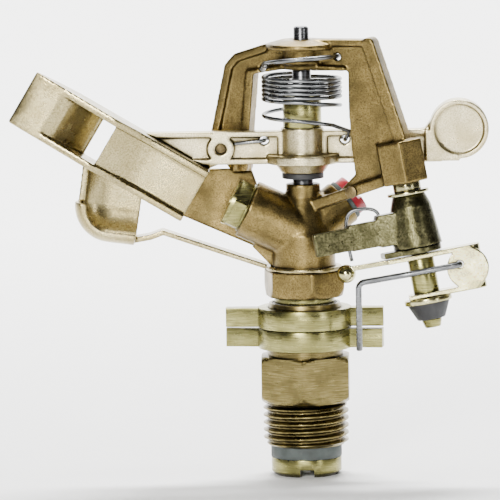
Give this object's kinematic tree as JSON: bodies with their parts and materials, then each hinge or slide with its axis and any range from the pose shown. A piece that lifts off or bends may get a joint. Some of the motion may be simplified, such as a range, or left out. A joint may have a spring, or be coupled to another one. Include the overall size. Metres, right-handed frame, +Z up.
{
  "type": "impact sprinkler",
  "caption": "Part-circle brass impact sprinkler with a sprung swinging arm and drive spoon, adjustable stop rings, a trip mechanism and a threaded inlet.",
  "frame": {"origin": "on the spin axis, at the lower end of the inlet thread", "axes": "+Z up the spin axis, -X the way the main nozzle throws, -Y the side that the arm swings towards"},
  "size_m": [0.1171, 0.029, 0.1103],
  "materials": {
    "cast_brass": "sand-cast golden bronze, matte",
    "arm_brass": "pale cast brass, satin",
    "spoon_brass": "smooth polished brass",
    "turned_brass": "machined olive yellow brass",
    "sleeve_brass": "machined brass, threaded",
    "dark_bronze": "dark olive cast bronze",
    "yoke_brass": "polished stamped brass",
    "spring_steel": "drawn stainless wire",
    "pin_steel": "ground stainless rod",
    "seal_rubber": "dark grey rubber",
    "black_plastic": "black moulded plastic",
    "red_plastic": "red moulded plastic",
    "white_plastic": "white acetal",
    "rivet_brass": "dark brass"
  },
  "bodies": {
    "base": {"inlet_sleeve": "sleeve_brass"},
    "lower_ring": {"lower_stop_ring": "turned_brass"},
    "upper_ring": {"upper_stop_ring": "turned_brass"},
    "head": {"body_casting": "cast_brass", "bearing_tube": "turned_brass", "inlet_seal": "seal_rubber", "bearing_spring": "spring_steel", "spring_seat_washer": "turned_brass", "friction_washer": "white_plastic", "thrust_washer": "turned_brass", "range_nozzle": "turned_brass", "rear_nozzle": "red_plastic", "rear_nozzle_gasket": "seal_rubber", "arm_pin": "pin_steel", "stop_pin": "rivet_brass", "deflector_scoop": "spoon_brass", "arm_washer": "black_plastic", "arm_spring": "spring_steel", "trip_pin": "turned_brass", "trip_spacer": "yoke_brass", "trip_top_washer": "yoke_brass", "trip_end_washer": "yoke_brass", "trip_end_cap": "black_plastic"},
    "arm": {"impact_arm": "arm_brass", "drive_spoon": "spoon_brass", "spoon_rivet": "rivet_brass", "arm_bush": "turned_brass"},
    "lever": {"reversing_lever": "dark_bronze", "lever_bush": "turned_brass", "trip_disc": "dark_bronze"},
    "yoke": {"trip_yoke": "yoke_brass", "trip_sleeve": "turned_brass", "trip_wire": "spring_steel", "toggle_spring": "spring_steel"}
  },
  "joints": [
    {"name": "head_spin", "type": "hinge", "parent": "base", "child": "head", "pos_m": [0, 0, 0], "axis": [0, 0, 1], "range_deg": [-90, 18]},
    {"name": "lower_ring_turn", "type": "hinge", "parent": "base", "child": "lower_ring", "pos_m": [0, 0, 0.026], "axis": [0, 0, 1], "range_deg": [0, 25]},
    {"name": "upper_ring_turn", "type": "hinge", "parent": "base", "child": "upper_ring", "pos_m": [0, 0, 0.031], "axis": [0, 0, 1], "range_deg": [0, 25]},
    {"name": "arm_swing", "type": "hinge", "parent": "head", "child": "arm", "pos_m": [0, 0, 0.073], "axis": [0, 0, 1], "range_deg": [0, 90], "stiffness_Nm_per_rad": 0.01, "springref_deg": -17.19, "deforming": ["arm_spring"]},
    {"name": "yoke_trip", "type": "hinge", "parent": "head", "child": "yoke", "pos_m": [0.02406, -0.00876, 0.0702], "axis": [-0.1729, 0.0629, 0.9829], "range_deg": [0, 8], "deforming": ["toggle_spring"]},
    {"name": "lever_flip", "type": "hinge", "parent": "head", "child": "lever", "pos_m": [0.02406, -0.00876, 0.0702], "axis": [-0.1729, 0.0629, 0.9829], "range_deg": [-9.6, 0]}
  ],
  "couplings": [
    {"joint": "lever_flip", "follows": "yoke_trip", "ratio": -1.2}
  ]
}
